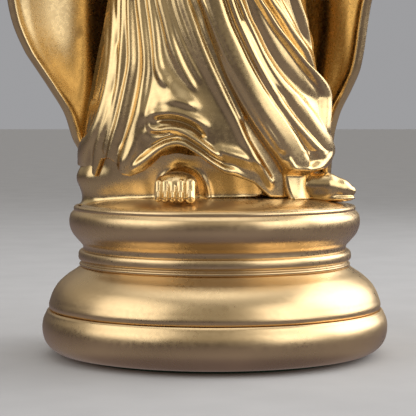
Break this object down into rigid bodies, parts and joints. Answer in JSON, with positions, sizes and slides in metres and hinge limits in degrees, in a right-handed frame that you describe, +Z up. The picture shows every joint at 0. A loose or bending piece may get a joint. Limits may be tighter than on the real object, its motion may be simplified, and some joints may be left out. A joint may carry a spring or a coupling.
{
  "type": "devotional madonna statue",
  "caption": "Gilded robed and veiled standing female figure with lowered open hands, draped mantle and a round moulded pedestal.",
  "frame": {"origin": "centre of the felt pad's underside, on the pedestal's axis, at table level", "axes": "+Z up along the pedestal's axis; the figure faces -Y; the figure's left hand is at +X"},
  "size_m": [0.174, 0.136, 0.4],
  "materials": {
    "gold_pedestal": "satin",
    "gold_robe": "satin",
    "gold_mantle": "satin",
    "gold_skin": "satin",
    "steel": "satin",
    "board": "matte",
    "wood_dowel": "matte",
    "felt": "matte"
  },
  "bodies": {
    "root": {"felt_pad": "felt", "base_board": "board", "pedestal_foot_ring": "gold_pedestal", "pedestal_bell": "gold_pedestal", "pedestal_neck_band": "gold_pedestal", "pedestal_cap": "gold_pedestal", "figure_plinth": "gold_pedestal", "tie_rod": "steel", "bottom_washer": "steel", "bottom_nut": "steel", "top_washer": "steel", "top_nut": "steel", "underskirt": "gold_robe", "gown_skirt": "gold_robe", "waist_sash": "gold_robe", "bodice": "gold_robe", "right_sleeve": "gold_robe", "left_sleeve": "gold_robe", "mantle_front_drape": "gold_mantle", "mantle_back": "gold_mantle", "mantle_right_wing": "gold_mantle", "mantle_left_wing": "gold_mantle", "veil": "gold_mantle", "head": "gold_skin", "hair": "gold_skin", "neck_dowel": "wood_dowel", "right_hand": "gold_skin", "left_hand": "gold_skin", "right_wrist_dowel": "steel", "left_wrist_dowel": "steel", "right_foot": "gold_skin", "left_foot": "gold_skin"}
  },
  "joints": []
}
